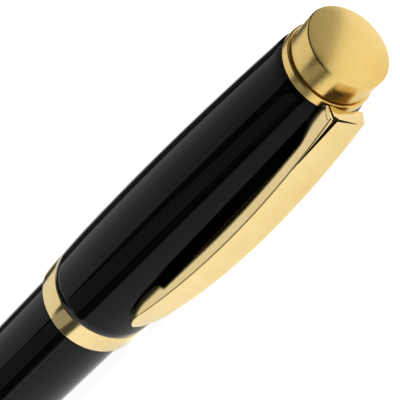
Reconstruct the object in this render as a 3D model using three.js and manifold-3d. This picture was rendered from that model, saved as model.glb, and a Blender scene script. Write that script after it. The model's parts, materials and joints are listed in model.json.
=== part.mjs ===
// A capped rollerball pen in black lacquered brass with gold-plated trim, lying on a table.
//
// The pen's axis runs along X, with the top of the cap at the +X end. Lengths are in millimetres.
// Every piece of the pen is drawn first by its station, the distance along the axis from the open
// rim of the cap band (station 0), with the cap and the writing end at positive stations and the
// barrel at negative ones. The last lines move the pen so that it stands on z = 0.

import * as THREE from 'three';
import { mergeVertices } from 'three/addons/utils/BufferGeometryUtils.js';
import Module from 'manifold-3d';

const wasm = await Module();
wasm.setup();

// ---------------------------------------------------------------- driving dimensions

const TAIL_END = -82.5;            // flat end of the tail finial
const CAP_TOP = 57.5;              // crown of the cap finial
const FIT = 0.05;                  // radial gap of a pressed fit
const FACE_GAP = 0.05;             // gap between two faces that are clamped together

// cap
const CAP_RADIUS = 6.62;           // widest part of the cap
const CAP_WIDEST = 11;             // station of that part
const CAP_FALL = 0.00075;          // fall of the radius per square millimetre towards the top
const CAP_MOUTH_FALL = 0.0021;     // and towards the mouth
const BAND_LENGTH = 3.43;
const BAND_RADIUS = 6.5;
const CAP_SPIGOT_RADIUS = 5.95;    // reduced end of the cap tube, inside the band
const CAP_MOUTH_BORE = 5.55;
const CAP_BORE = 5.25;
const CAP_SHELL_TOP = 52;
const CAP_WALL_STATION = 50.2;     // inner face of the cap's closed end
const STUD_HOLE = 1.6;
const RING_BOTTOM = 52.05;         // clip ring
const RING_TOP = 53.15;
const RING_RADIUS = 5.2;
const FINIAL_RADIUS = 4.92;
const FINIAL_RIM = 56.6;           // edge between the finial's side and its crown
const STUD_RADIUS = 1.15;

// writing end
const GRIP_BACK = 2.7;
const GRIP_FRONT = 32;
const NOSE_FRONT = 38.6;
const REFILL_RADIUS = 3;
const REFILL_TUBE_BORE = 2.5;
const REFILL_END = -68.7;
const BALL_RADIUS = 0.35;
const BALL_STATION = 41.45;

// screw joint between the section and the barrel, right-handed
const PITCH = 1;
const THREAD_CORE = 3.95;
const THREAD_CREST = 4.45;
const THREAD_BACK = -6.6;
const THREAD_FRONT = -1.4;
const THREAD_PLAY = 0.12;

// barrel
const BARREL_FRONT = -0.25;
const BARREL_BACK = -76.5;
const BARREL_RADIUS = 5.98;
const TAPER_START = -8;            // the barrel narrows from here to the tail
const TAPER_POWER = 3.5;
const TAPER = 6.69e-7;
const TAIL_STUD_HOLE = 1.3;
const BUSH_RADIUS = 5.1;
const BUSH_BACK = -7.4;
const SPRING_RADIUS = 2.2;
const SPRING_WIRE = 0.24;
const SPRING_TURNS = 5;

// clip, in a frame of its own: across the clip, and height from the pen's axis
const CLIP_HEAD = 54;
const CLIP_TIP = 8.6;
const CLIP_APEX = 31;              // station where the bowed front plate is highest
const CLIP_APEX_HEIGHT = 9.75;
const CLIP_BOW = 0.00427;          // fall of the bow per square millimetre from its apex
const CLIP_HEAD_HALF_WIDTH = 2.05;
const CLIP_APEX_HALF_WIDTH = 1.92;
const CLIP_SHEET = 0.5;            // thickness of the folded sheet
const CLIP_EDGE_BREAK = 0.2;       // chamfer along the two long edges
const CLIP_SWING_GAP = 0.15;       // clearance between the clip and the cap that it rocks on

const COARSE = 20;                 // facets round a small turned piece, and in a turn of thread
const FINE = 28;                   // facets round a large turned piece

// ---------------------------------------------------------------- materials

const finish = (color, roughness, metalness) =>
  new THREE.MeshStandardMaterial({ color, roughness, metalness });

const LACQUER = () => finish(0x0b0b0b, 0.08, 0);
const GOLD = () => finish(0xe4cb7e, 0.2, 1);
const BRASS = () => finish(0xb8974a, 0.35, 1);
const STEEL = () => finish(0xc8cacc, 0.25, 1);
const BLACK_PLASTIC = () => finish(0x1a1a1b, 0.5, 0);
const WHITE_PLASTIC = () => finish(0xd9dbdc, 0.45, 0);
const RUBBER = () => finish(0x121212, 0.8, 0);
const FIBRE = () => finish(0x20264a, 0.95, 0);

// ---------------------------------------------------------------- helpers

// A turned piece. The outline lists [station, radius] pairs along the outside towards +X and back
// along the bore, and is closed by its first point unless it starts and ends on the axis.
function turned(outline, facets = FINE) {
  const points = outline.map(([station, radius]) => new THREE.Vector2(radius, station));
  const startsOnAxis = outline[0][1] === 0;
  if (!startsOnAxis) points.push(points[0].clone());
  return new THREE.LatheGeometry(points, facets).rotateZ(-Math.PI / 2);
}

// A turned ring or tube with the same wall all along.
function tube(from, to, outer, inner, facets = FINE) {
  return turned([[from, inner], [from, outer], [to, outer], [to, inner]], facets);
}

// A solid for joining and cutting, made from a closed geometry.
function toSolid(geometry) {
  const bare = geometry.clone();
  bare.deleteAttribute('normal');
  bare.deleteAttribute('uv');
  const merged = mergeVertices(bare, 1e-4);
  return new wasm.Manifold(new wasm.Mesh({
    numProp: 3,
    vertProperties: new Float32Array(merged.attributes.position.array),
    triVerts: new Uint32Array(merged.index.array),
  }));
}

function toGeometry(solid) {
  const { numProp, vertProperties, triVerts } = solid.getMesh();
  const positions = new Float32Array((vertProperties.length / numProp) * 3);
  for (let vertex = 0; vertex * numProp < vertProperties.length; vertex += 1) {
    positions.set(vertProperties.subarray(vertex * numProp, vertex * numProp + 3), vertex * 3);
  }
  const geometry = new THREE.BufferGeometry();
  geometry.setAttribute('position', new THREE.BufferAttribute(positions, 3));
  geometry.setIndex(new THREE.BufferAttribute(new Uint32Array(triVerts), 1));
  geometry.computeVertexNormals();
  return geometry;
}

// A closed skin stretched over a row of cross-sections, each a list of [x, y, z] corners. The
// outline gives the same corners in the plane of a section, for closing the two ends.
function loft(sections, outline) {
  const corners = outline.length;
  const last = (sections.length - 1) * corners;
  const index = [];
  for (let row = 0; row + 1 < sections.length; row += 1) {
    for (let corner = 0; corner < corners; corner += 1) {
      const a = row * corners + corner;
      const b = row * corners + ((corner + 1) % corners);
      index.push(a, b, b + corners, a, b + corners, a + corners);
    }
  }
  const flat = outline.map(([across, up]) => new THREE.Vector2(across, up));
  const clockwise = THREE.ShapeUtils.isClockWise(flat);
  for (const face of THREE.ShapeUtils.triangulateShape(flat, [])) {
    const [a, b, c] = clockwise ? face.reverse() : face;
    index.push(a, c, b, last + a, last + b, last + c);
  }
  const geometry = new THREE.BufferGeometry();
  geometry.setAttribute('position', new THREE.Float32BufferAttribute(sections.flat(2), 3));
  geometry.setIndex(index);
  return geometry;
}

// The ridge of a screw thread: a trapezoid swept along a right-handed helix about the X axis.
// Its corners fall halfway between the facet edges of a coarse turned piece.
function threadRidge({ from, to, root, crest, rootWidth, crestWidth }) {
  const outline = [[rootWidth / 2, root], [crestWidth / 2, crest], [-crestWidth / 2, crest],
    [-rootWidth / 2, root]];
  const firstStep = Math.round((from / PITCH) * COARSE);
  const steps = Math.round(((to - from) / PITCH) * COARSE);
  const sections = [];
  for (let step = 0; step <= steps; step += 1) {
    const turns = (firstStep + step + 0.5) / COARSE;
    const angle = turns * 2 * Math.PI;
    sections.push(outline.map(([along, radius]) =>
      [turns * PITCH + along, radius * Math.cos(angle), radius * Math.sin(angle)]));
  }
  return loft(sections, outline);
}

const pen = new THREE.Group();

function add(name, geometry, material) {
  const mesh = new THREE.Mesh(geometry, material);
  mesh.name = name;
  pen.add(mesh);
  return mesh;
}

// ---------------------------------------------------------------- cap

// outside of the lacquered cap tube, from the band to its closed end
function capRadius(station) {
  const fall = station > CAP_WIDEST ? CAP_FALL : CAP_MOUTH_FALL;
  return CAP_RADIUS - fall * (station - CAP_WIDEST) ** 2;
}
const CAP_SIDE_STATIONS = [BAND_LENGTH + FACE_GAP, 6, 11, 17, 23, 29, 35, 41, 46, 50.5];
const CAP_OUTLINE = [
  ...CAP_SIDE_STATIONS.map((station) => [station, capRadius(station)]),
  [51.5, 5.33], [CAP_SHELL_TOP, 5.08],
];

add('cap_shell', turned([
  [0.25, CAP_MOUTH_BORE], [0.25, CAP_SPIGOT_RADIUS],
  [BAND_LENGTH + FACE_GAP, CAP_SPIGOT_RADIUS],
  ...CAP_OUTLINE,
  [CAP_SHELL_TOP, STUD_HOLE], [CAP_WALL_STATION, STUD_HOLE], [CAP_WALL_STATION, 4.3],
  [36, CAP_BORE], [9, CAP_BORE], [9, CAP_MOUTH_BORE],
]), LACQUER());

const BAND_BEVEL = 0.14;
add('cap_band', turned([
  [0, CAP_SPIGOT_RADIUS + FIT], [0, BAND_RADIUS - BAND_BEVEL], [BAND_BEVEL, BAND_RADIUS],
  [BAND_LENGTH - BAND_BEVEL, BAND_RADIUS - 0.02],
  [BAND_LENGTH, BAND_RADIUS - 0.02 - BAND_BEVEL], [BAND_LENGTH, CAP_SPIGOT_RADIUS + FIT],
]), GOLD());

// brass sleeve inside the mouth, with the rib that clicks over the bead of the section ring
add('cap_mouth_bush', turned([
  [0.4, 5.15], [0.4, CAP_MOUTH_BORE - FIT], [8.9, CAP_MOUTH_BORE - FIT], [8.9, 5.15],
  [1.75, 5.15], [1.6, 5.07], [1.1, 5.07], [0.95, 5.15],
]), BRASS());

// plastic liner that closes round the tip and keeps it from drying
add('inner_cap', turned([
  [9.1, 4.72], [9.1, CAP_BORE - FIT], [35.9, CAP_BORE - FIT], [48.6, 4.3], [48.6, 0.8],
  [47.9, 0.8], [47.9, 3.85], [36, 4.72],
]), BLACK_PLASTIC());

const RING_BEVEL = 0.1;
add('clip_ring', turned([
  [RING_BOTTOM, STUD_HOLE], [RING_BOTTOM, RING_RADIUS - RING_BEVEL],
  [RING_BOTTOM + RING_BEVEL, RING_RADIUS], [RING_TOP - RING_BEVEL, RING_RADIUS - 0.05],
  [RING_TOP, RING_RADIUS - 0.05 - RING_BEVEL], [RING_TOP, STUD_HOLE],
]), GOLD());

// The finial has a narrow neck, which shows as the dark line above the clip ring, a short side,
// and a low crown. The crown is an arc of a sphere.
function crown(fromStation, fromRadius, top, steps) {
  const rise = top - fromStation;
  const sphere = (fromRadius * fromRadius + rise * rise) / (2 * rise);
  const opening = Math.asin(fromRadius / sphere);
  const points = [];
  for (let step = 1; step <= steps; step += 1) {
    const angle = opening * (1 - step / steps);
    const radius = step === steps ? 0 : sphere * Math.sin(angle);
    points.push([top - sphere * (1 - Math.cos(angle)), radius]);
  }
  return points;
}
const NECK_RADIUS = 4.55;
add('finial', turned([
  [55.4, 0], [55.4, STUD_RADIUS + FIT], [RING_TOP + FACE_GAP, STUD_RADIUS + FIT],
  [RING_TOP + FACE_GAP, NECK_RADIUS], [53.4, NECK_RADIUS], [53.45, FINIAL_RADIUS],
  [FINIAL_RIM - 0.1, FINIAL_RADIUS], [FINIAL_RIM, FINIAL_RADIUS - 0.1],
  ...crown(FINIAL_RIM, FINIAL_RADIUS - 0.1, CAP_TOP, 5),
]), GOLD());

add('finial_stud', turned([
  [48.8, 0], [48.8, STUD_RADIUS - 0.15], [49, STUD_RADIUS], [55.2, STUD_RADIUS],
  [55.3, STUD_RADIUS - 0.1], [55.3, 0],
], COARSE), STEEL());

add('cap_washer', tube(49.85, CAP_WALL_STATION - FACE_GAP, 3.2, STUD_HOLE, COARSE), STEEL());

const NUT_CORNER_RADIUS = 2.7;
const NUT_HEIGHT = 1;
const NUT_STATION = 48.78;
const nutOutline = new THREE.Shape();
for (let corner = 0; corner < 6; corner += 1) {
  const angle = (corner / 6) * 2 * Math.PI;
  const draw = corner === 0 ? 'moveTo' : 'lineTo';
  nutOutline[draw](NUT_CORNER_RADIUS * Math.cos(angle), NUT_CORNER_RADIUS * Math.sin(angle));
}
nutOutline.holes.push(new THREE.Path().absarc(0, 0, STUD_RADIUS + FIT, 0, 2 * Math.PI, true));
const nut = new THREE.ExtrudeGeometry(nutOutline, { depth: NUT_HEIGHT, bevelEnabled: false });
add('cap_nut', nut.rotateY(Math.PI / 2).translate(NUT_STATION, 0, 0), BRASS());

// ---------------------------------------------------------------- clip

const clipTop = (station) => CLIP_APEX_HEIGHT - CLIP_BOW * (station - CLIP_APEX) ** 2;

// half width: a slow taper from head to tip, with a rounded end
const CLIP_NARROWING = 0.00065;    // per square millimetre from the apex towards the tip
const CLIP_ROUNDING_START = 14;
const CLIP_END_HALF_WIDTH = 0.62;
function clipHalfWidth(station) {
  const taper = THREE.MathUtils.mapLinear(station, CLIP_APEX, CLIP_HEAD, CLIP_APEX_HALF_WIDTH,
    CLIP_HEAD_HALF_WIDTH);
  const narrowing = CLIP_NARROWING * Math.max(0, CLIP_APEX - station) ** 2;
  const intoRounding = Math.max(0, CLIP_ROUNDING_START - station) / (CLIP_ROUNDING_START - CLIP_TIP);
  const rounding = Math.sqrt(1 - Math.min(1, intoRounding ** 2));
  return Math.max(CLIP_END_HALF_WIDTH, (taper - narrowing) * rounding);
}

// lower edge of the side flanges: deep at the head, shallow along the arm, deep at the foot
// where they turn in and press on the cap
const CLIP_EDGE = [
  [CLIP_TIP, 6.95], [9.6, 6.8], [11.5, 6.74], [13.5, 6.72], [16, 6.75], [17.4, 6.95],
  [18.3, 7.5], [18.8, 7.95], [20, 7.98], [24, 8.05], [30, 8.18], [36, 8.05], [42, 7.6],
  [46.4, 7.12], [48.4, 6.85], [49.3, 6.35], [50.2, 5.75], [51.4, 5.38], [52.4, 5.28],
  [53.2, 5.42], [CLIP_HEAD, 5.85],
];

// the folded channel's cross-section, with its corners as [across, height]
const CLIP_LEAST_HOLLOW = 0.12;
function clipOutline([station, edge]) {
  const half = clipHalfWidth(station);
  const top = clipTop(station);
  const inside = Math.max(CLIP_LEAST_HOLLOW, half - CLIP_SHEET);
  const under = Math.max(edge + CLIP_LEAST_HOLLOW, top - CLIP_SHEET);
  return [
    [half, edge], [half, top - CLIP_EDGE_BREAK], [half - CLIP_EDGE_BREAK, top],
    [CLIP_EDGE_BREAK - half, top], [-half, top - CLIP_EDGE_BREAK], [-half, edge],
    [-inside, edge], [-inside, under], [inside, under], [inside, edge],
  ];
}

const clipSections = CLIP_EDGE.map((row) =>
  clipOutline(row).map(([across, height]) => [row[0], across, height]));

// the short flap that closes the head of the channel
const FLAP_HEIGHT = 1.5;
const FLAP_OVERLAP = 0.1;          // how far the flap reaches into the channel's walls
function clipFlap() {
  const half = CLIP_HEAD_HALF_WIDTH - CLIP_SHEET + FLAP_OVERLAP;
  const flap = new THREE.BoxGeometry(CLIP_SHEET, 2 * half, FLAP_HEIGHT);
  const middle = clipTop(CLIP_HEAD) - CLIP_EDGE_BREAK - FLAP_HEIGHT / 2;
  return flap.translate(CLIP_HEAD - CLIP_SHEET / 2 - 0.01, 0, middle);
}

// the swept outside of the cap and its trim, which the clip stays clear of
const KEEP_OUT_END = 58;
const clipKeepOut = turned([
  [0, 0], ...CAP_OUTLINE.map(([station, radius]) => [station, radius + CLIP_SWING_GAP]),
  [CAP_SHELL_TOP + 0.01, RING_RADIUS + CLIP_SWING_GAP],
  [KEEP_OUT_END, RING_RADIUS + CLIP_SWING_GAP], [KEEP_OUT_END, 0],
], 2 * FINE);

const clipBody = toSolid(loft(clipSections, clipOutline(CLIP_EDGE[0])))
  .add(toSolid(clipFlap()))
  .subtract(toSolid(clipKeepOut));
const clip = add('clip', toGeometry(clipBody), GOLD());

// ---------------------------------------------------------------- section

// lacquered grip, gently waisted towards the fingers
add('grip_section', turned([
  [0.45, THREAD_CORE], [0.45, 4.4], [GRIP_BACK, 4.4], [GRIP_BACK, 4.85], [6, 4.72], [9, 4.58],
  [15, 4.4], [22, 4.27], [28, 4.22], [GRIP_FRONT, 4.3], [GRIP_FRONT, 3.8], [28.3, 3.8],
  [28.3, REFILL_RADIUS + 0.25], [6.2, REFILL_RADIUS + 0.25], [6.2, THREAD_CORE],
]), LACQUER());

// gold ring behind the grip, with the bead that the cap clicks over
add('section_ring', turned([
  [0.4, 4.45], [0.4, 4.8], [0.5, 4.86], [1.9, 4.86], [2.1, 5], [2.45, 5],
  [GRIP_BACK - FACE_GAP, 4.88], [GRIP_BACK - FACE_GAP, 4.45],
]), GOLD());

add('nose_cone', turned([
  [28.5, 3.3], [28.5, 3.75], [GRIP_FRONT + 0.1, 3.75], [GRIP_FRONT + 0.1, 4.2], [32.3, 4.3],
  [33.4, 4.22], [35, 3.6], [37.2, 2.35], [38.2, 1.85], [NOSE_FRONT, 1.65], [NOSE_FRONT, 1.45],
  [36.6, 1.45], [33.5, 3.3],
]), GOLD());

// brass insert with the male thread, pressed into the back of the grip
const insertCore = turned([
  [THREAD_BACK - 0.4, 3.2], [THREAD_BACK - 0.4, 3.6], [THREAD_BACK, THREAD_CORE],
  [-0.2, THREAD_CORE], [-0.2, 4.75], [0.35, 4.75], [0.35, THREAD_CORE - FIT],
  [6, THREAD_CORE - FIT], [6, 3.2],
], COARSE);
const MALE_ROOT_WIDTH = 0.6;
const MALE_CREST_WIDTH = 0.22;
const maleRidge = threadRidge({
  from: THREAD_BACK + 0.35, to: THREAD_FRONT - 0.35, root: THREAD_CORE - 0.25, crest: THREAD_CREST,
  rootWidth: MALE_ROOT_WIDTH, crestWidth: MALE_CREST_WIDTH,
});
add('section_thread', toGeometry(toSolid(insertCore).add(toSolid(maleRidge))), BRASS());

// sealing ring in front of the thread
function ringSeal(station, radius, thickness) {
  const outline = [];
  for (let corner = 0; corner < 6; corner += 1) {
    const angle = (corner + 0.5) * (Math.PI / 3);
    outline.push([station - thickness * Math.cos(angle), radius - thickness * Math.sin(angle)]);
  }
  return turned(outline.reverse(), COARSE);
}
add('thread_seal', ringSeal(-0.72, THREAD_CORE + 0.36, 0.28), RUBBER());

// ---------------------------------------------------------------- refill

add('refill_tube', tube(-67.4, 31, REFILL_RADIUS, REFILL_TUBE_BORE, COARSE), WHITE_PLASTIC());

add('refill_end_plug', turned([
  [REFILL_END, 0.4], [REFILL_END, 2.8], [-68.4, REFILL_RADIUS], [-67.5, REFILL_RADIUS],
  [-67.5, REFILL_TUBE_BORE - FIT], [-64.5, REFILL_TUBE_BORE - FIT], [-64.5, 0.4],
], COARSE), BLACK_PLASTIC());

add('ink_reservoir', turned([
  [-64, 0], [-64, 2.35], [27.6, 2.35], [27.6, 0.85], [20, 0.85], [20, 0],
], COARSE), FIBRE());

add('ink_feed', turned([[20.3, 0], [20.3, 0.7], [30.6, 0.7], [30.6, 0]], COARSE), FIBRE());

add('tip_holder', turned([
  [28, 0.95], [28, REFILL_TUBE_BORE - FIT], [31.05, REFILL_TUBE_BORE - FIT],
  [31.05, REFILL_RADIUS], [32, REFILL_RADIUS], [34.9, 2.05], [35.2, 1.7], [35.2, 0.95],
], COARSE), BLACK_PLASTIC());

// turned steel tip: ink channel from the back, and a socket whose lip keeps the ball
const SOCKET_RADIUS = BALL_RADIUS + 0.035;
add('refill_tip', turned([
  [31.2, 0.25], [31.2, 0.9], [35.25, 0.9], [35.25, 1.3], [36.5, 1.2], [36.7, 1.15], [39.3, 1.15],
  [41.2, 0.5], [41.62, 0.4], [41.62, 0.335], [BALL_STATION + 0.08, SOCKET_RADIUS],
  [BALL_STATION - 0.1, SOCKET_RADIUS], [BALL_STATION - 0.36, 0.25],
], COARSE), STEEL());

const ball = add('writing_ball', new THREE.SphereGeometry(BALL_RADIUS, 16, 10), STEEL());
ball.position.x = BALL_STATION;

// ---------------------------------------------------------------- barrel

const barrelRadius = (station) =>
  BARREL_RADIUS - TAPER * Math.max(0, TAPER_START - station) ** TAPER_POWER;
const BARREL_SIDE_STATIONS = [BARREL_BACK, -73, -67, -60, -50, -38, -24, -10];

add('barrel_tube', turned([
  [BARREL_BACK, TAIL_STUD_HOLE],
  ...BARREL_SIDE_STATIONS.map((station) => [station, barrelRadius(station)]),
  [BARREL_FRONT - 0.15, BARREL_RADIUS],
  [BARREL_FRONT, BARREL_RADIUS - 0.15], [BARREL_FRONT, BUSH_RADIUS + FIT],
  [BUSH_BACK - 0.1, BUSH_RADIUS + FIT], [BUSH_BACK - 0.1, 4.7], [-52, 4.5], [-66, 3.5],
  [-74.9, 3.3], [-74.9, TAIL_STUD_HOLE],
]), LACQUER());

// brass bush with the female thread
const bushBlank = turned([
  [BUSH_BACK, THREAD_CORE + THREAD_PLAY], [BUSH_BACK, BUSH_RADIUS],
  [BARREL_FRONT - 0.1, BUSH_RADIUS], [BARREL_FRONT - 0.1, 4.72], [-1.3, 4.72],
  [-1.3, THREAD_CORE + THREAD_PLAY],
], COARSE);
const femaleRidge = threadRidge({
  from: BUSH_BACK - 1.5, to: 0.5, root: THREAD_CORE - 0.25, crest: THREAD_CREST + THREAD_PLAY,
  rootWidth: MALE_ROOT_WIDTH + 2 * THREAD_PLAY, crestWidth: MALE_CREST_WIDTH + 2 * THREAD_PLAY,
});
add('barrel_thread_bush', toGeometry(toSolid(bushBlank).subtract(toSolid(femaleRidge))), BRASS());

add('tail_ring', turned([
  [-77.75, TAIL_STUD_HOLE], [-77.75, 4.1], [-77.65, 4.2], [-76.65, 4.25],
  [BARREL_BACK - FACE_GAP, 4.15], [BARREL_BACK - FACE_GAP, TAIL_STUD_HOLE],
]), GOLD());

// tail finial: a short side, a rounded shoulder and a small flat end face
add('tail_finial', turned([
  [TAIL_END, 0], [TAIL_END, 2.2], [-82.3, 2.75], [-81.8, 3.35], [-81, 3.75], [-80, 3.9],
  [-78, 3.95], [-77.95, 3.6], [-77.8, 3.6], [-77.8, STUD_RADIUS + FIT], [-80.2, STUD_RADIUS + FIT],
  [-80.2, 0],
]), GOLD());

add('tail_stud', turned([
  [-80.1, 0], [-80.1, STUD_RADIUS], [-74.75, STUD_RADIUS], [-74.75, 2.2], [-74.3, 2.2],
  [-74.3, 0],
], COARSE), STEEL());

// spring behind the refill, squeezed when the section is screwed home
class Helix extends THREE.Curve {
  constructor(from, to, radius, turns) {
    super();
    Object.assign(this, { from, to, radius, turns });
  }

  getPoint(t, target = new THREE.Vector3()) {
    const angle = t * this.turns * 2 * Math.PI;
    return target.set(this.from + (this.to - this.from) * t, this.radius * Math.cos(angle),
      this.radius * Math.sin(angle));
  }
}
const SPRING_BACK = -73.95;
const SPRING_FRONT = -69.05;
const wireSection = new THREE.Shape();
wireSection.absarc(0, 0, SPRING_WIRE, 0, 2 * Math.PI);
add('tail_spring', new THREE.ExtrudeGeometry(wireSection, {
  steps: SPRING_TURNS * 12,
  curveSegments: 3,
  extrudePath: new Helix(SPRING_BACK, SPRING_FRONT, SPRING_RADIUS, SPRING_TURNS),
}), STEEL());

// ---------------------------------------------------------------- placing

// The pen has rolled on its side until a long edge of the clip touches the table.
const edgeHeight = CLIP_APEX_HEIGHT - CLIP_EDGE_BREAK;
const edgeReach = Math.hypot(edgeHeight, CLIP_APEX_HALF_WIDTH);
const edgeAngle = Math.atan2(CLIP_APEX_HALF_WIDTH, edgeHeight);
const clipDroop = Math.asin(CAP_RADIUS / edgeReach) - edgeAngle;
clip.rotation.x = Math.PI / 2 + clipDroop;

// The axis lies over the middle of the pen's length, and beside the middle of its width, because
// the clip reaches further out than the cap.
pen.updateMatrixWorld(true);
const width = new THREE.Box3().setFromObject(pen, true);
pen.position.set(-(TAIL_END + CAP_TOP) / 2, -(width.min.y + width.max.y) / 2, CAP_RADIUS);

export default pen;
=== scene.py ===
# %% [markdown]
# # A capped rollerball pen in black lacquer and gold plate
# The pen is made the way its maker makes it: most pieces are turned on a lathe, so most pieces here
# are an outline that is spun about the pen's axis. The clip is a folded sheet, so it is extruded
# from its cross-section. The first lines load the engineering model, whose bodies move and whose
# places every new piece takes.

# %% Load the frame
import json
import math

import bmesh
import bpy
from mathutils import Matrix, Quaternion, Vector


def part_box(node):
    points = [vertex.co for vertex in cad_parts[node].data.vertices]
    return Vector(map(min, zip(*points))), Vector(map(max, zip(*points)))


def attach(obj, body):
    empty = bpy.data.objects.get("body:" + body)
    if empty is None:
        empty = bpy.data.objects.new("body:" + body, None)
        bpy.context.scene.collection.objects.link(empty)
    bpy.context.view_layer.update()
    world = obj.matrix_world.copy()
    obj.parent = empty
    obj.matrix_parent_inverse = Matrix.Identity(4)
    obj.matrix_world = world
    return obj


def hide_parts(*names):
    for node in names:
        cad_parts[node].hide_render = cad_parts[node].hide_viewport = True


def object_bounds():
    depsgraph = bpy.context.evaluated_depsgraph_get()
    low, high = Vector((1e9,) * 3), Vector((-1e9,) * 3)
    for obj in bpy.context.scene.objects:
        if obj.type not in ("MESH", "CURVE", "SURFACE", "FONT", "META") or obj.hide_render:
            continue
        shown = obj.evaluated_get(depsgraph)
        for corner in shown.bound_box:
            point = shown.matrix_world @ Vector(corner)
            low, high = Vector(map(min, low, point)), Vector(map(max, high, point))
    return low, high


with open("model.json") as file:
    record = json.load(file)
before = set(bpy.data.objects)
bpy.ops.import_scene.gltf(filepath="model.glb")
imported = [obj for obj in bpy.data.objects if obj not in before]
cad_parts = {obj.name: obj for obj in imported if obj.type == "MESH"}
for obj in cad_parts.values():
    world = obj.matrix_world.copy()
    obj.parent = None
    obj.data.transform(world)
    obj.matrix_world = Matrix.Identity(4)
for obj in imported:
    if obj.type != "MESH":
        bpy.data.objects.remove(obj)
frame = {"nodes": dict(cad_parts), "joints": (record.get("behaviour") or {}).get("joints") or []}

cad_low, cad_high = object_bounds()
print("CAD box in mm:", [round(1000 * side, 2) for side in cad_high - cad_low])

# %% [markdown]
# ## Stations
# A turner measures along the work from one shoulder and across it from the centre line. Here the
# shoulder is the open rim of the cap band, at station 0, and the cap lies at positive stations.
# The centre line comes from the band's own box, so nothing has to be fitted by eye.

# %% Stations and the centre line
MM = 0.001
band_low, band_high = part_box("cap_band")
AXIS = (band_low + band_high) / 2
RIM = band_low.x


def at(station, radius):
    """The point at that station and radius in millimetres, straight above the centre line."""
    return Vector((RIM + station * MM, AXIS.y, AXIS.z + radius * MM))


print("centre line at y, z in mm:", round(AXIS.y / MM, 3), round(AXIS.z / MM, 3))

# %% [markdown]
# ## Helpers for modelling
# An operator works on whatever is selected, so each piece starts from nothing selected. Vertices
# are picked by where they are, as a modeller would pick them with the mouse.

# %% Selecting
def deselect():
    if bpy.context.mode != "OBJECT":
        bpy.ops.object.mode_set(mode="OBJECT")
    bpy.ops.object.select_all(action="DESELECT")


def select_only(piece):
    deselect()
    piece.select_set(True)
    bpy.context.view_layer.objects.active = piece


def apply_place(piece):
    """Puts the object's place into its mesh, so that the object itself sits at the origin."""
    select_only(piece)
    bpy.ops.object.transform_apply(location=True, rotation=True, scale=True)


def pick(piece, test):
    """In edit mode, selects the vertices whose place passes the test, and says how many."""
    bpy.ops.mesh.select_mode(type="VERT")
    mesh = bmesh.from_edit_mesh(piece.data)
    count = 0
    for vertex in mesh.verts:
        vertex.select = test(vertex.co)
        count += vertex.select
    mesh.select_flush(True)
    bmesh.update_edit_mesh(piece.data)
    return count


deselect()
print(len(frame["nodes"]), "pieces loaded,", len(bpy.context.selected_objects), "left selected")

# %% [markdown]
# ## Turning: the outline
# A turned piece starts as a single point. The point is extruded from corner to corner round half
# the section of the wall, and chosen corners are rounded with a vertex bevel. That is the profile
# that the turner's tool follows.

# %% Drawing an outline
NEAR = 1e-7


def draw_outline(name, outline, closed):
    """Extrudes a point along the outline. Each corner is (station, radius) or has a rounding."""
    deselect()
    bpy.ops.mesh.primitive_plane_add(size=MM, location=at(*outline[0][:2]))
    piece = bpy.context.object
    piece.name = piece.data.name = name
    apply_place(piece)
    bpy.ops.object.mode_set(mode="EDIT")
    bpy.ops.mesh.select_all(action="SELECT")
    bpy.ops.mesh.merge(type="CENTER")
    for here, there in zip(outline, outline[1:]):
        step = at(*there[:2]) - at(*here[:2])
        bpy.ops.mesh.extrude_region_move(TRANSFORM_OT_translate={"value": step})
    if closed:
        ends = (at(*outline[0][:2]), at(*outline[-1][:2]))
        pick(piece, lambda co: min((co - end).length for end in ends) < NEAR)
        bpy.ops.mesh.edge_face_add()
    return piece


def round_corners(piece, outline, segments=4):
    """Rounds each corner that gives a rounding, by a vertex bevel of that size."""
    for size in sorted({corner[2] for corner in outline if len(corner) > 2}):
        places = [at(*corner[:2]) for corner in outline if len(corner) > 2 and corner[2] == size]
        pick(piece, lambda co: min((co - place).length for place in places) < NEAR)
        bpy.ops.mesh.bevel(offset=size * MM, affect="VERTICES", segments=segments)


print("points closer than", round(NEAR / MM, 6), "mm count as one")

# %% [markdown]
# ## Turning: the spin
# The finished outline is spun a full turn about the centre line. The seam's doubles are merged
# and the faces turned outwards. An outline that starts on the axis closes itself there, and any
# other is a ring whose section is a closed loop, so every piece ends as a closed shell.

# %% Spinning the outline
FACETS = 128
SMOOTH_ANGLE = math.radians(32)


def open_edges(piece):
    """How many edges don't join exactly two faces. A closed shell has none."""
    mesh = bmesh.new()
    mesh.from_mesh(piece.data)
    count = sum(not edge.is_manifold for edge in mesh.edges)
    mesh.free()
    return count


def turned(name, outline, facets=FACETS):
    """A piece turned on the lathe from the outline of its wall."""
    on_axis = outline[0][1] == 0
    piece = draw_outline(name, outline, closed=not on_axis)
    round_corners(piece, outline)
    bpy.ops.mesh.select_all(action="SELECT")
    bpy.ops.mesh.spin(steps=facets, angle=2 * math.pi, center=AXIS, axis=(1, 0, 0))
    bpy.ops.mesh.select_all(action="SELECT")
    bpy.ops.mesh.remove_doubles(threshold=2 * NEAR)
    bpy.ops.mesh.normals_make_consistent(inside=False)
    bpy.ops.object.mode_set(mode="OBJECT")
    bpy.ops.object.shade_smooth_by_angle(angle=SMOOTH_ANGLE)
    print(name, len(piece.data.polygons), "faces,", open_edges(piece), "open edges")
    return piece


print("a full turn has", FACETS, "facets")

# %% [markdown]
# ## Helpers for materials
# Colours are written as sRGB hex values, as a paint chart gives them, and turned to linear light
# by one function. Another adds a node with its settings and links. A pattern's scale is one over
# the size of its features, so each is worked out from a size in millimetres. In most finishes one
# soft pattern changes the tone and the gloss together, as wear and handling do.

# %% Material helpers
def colour(hex_value):
    """A linear colour from an sRGB hex value such as "#E4CB7E"."""
    channels = [int(hex_value[place:place + 2], 16) / 255 for place in (1, 3, 5)]
    linear = [c / 12.92 if c <= 0.04045 else ((c + 0.055) / 1.055) ** 2.4 for c in channels]
    return (*linear, 1)


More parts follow.
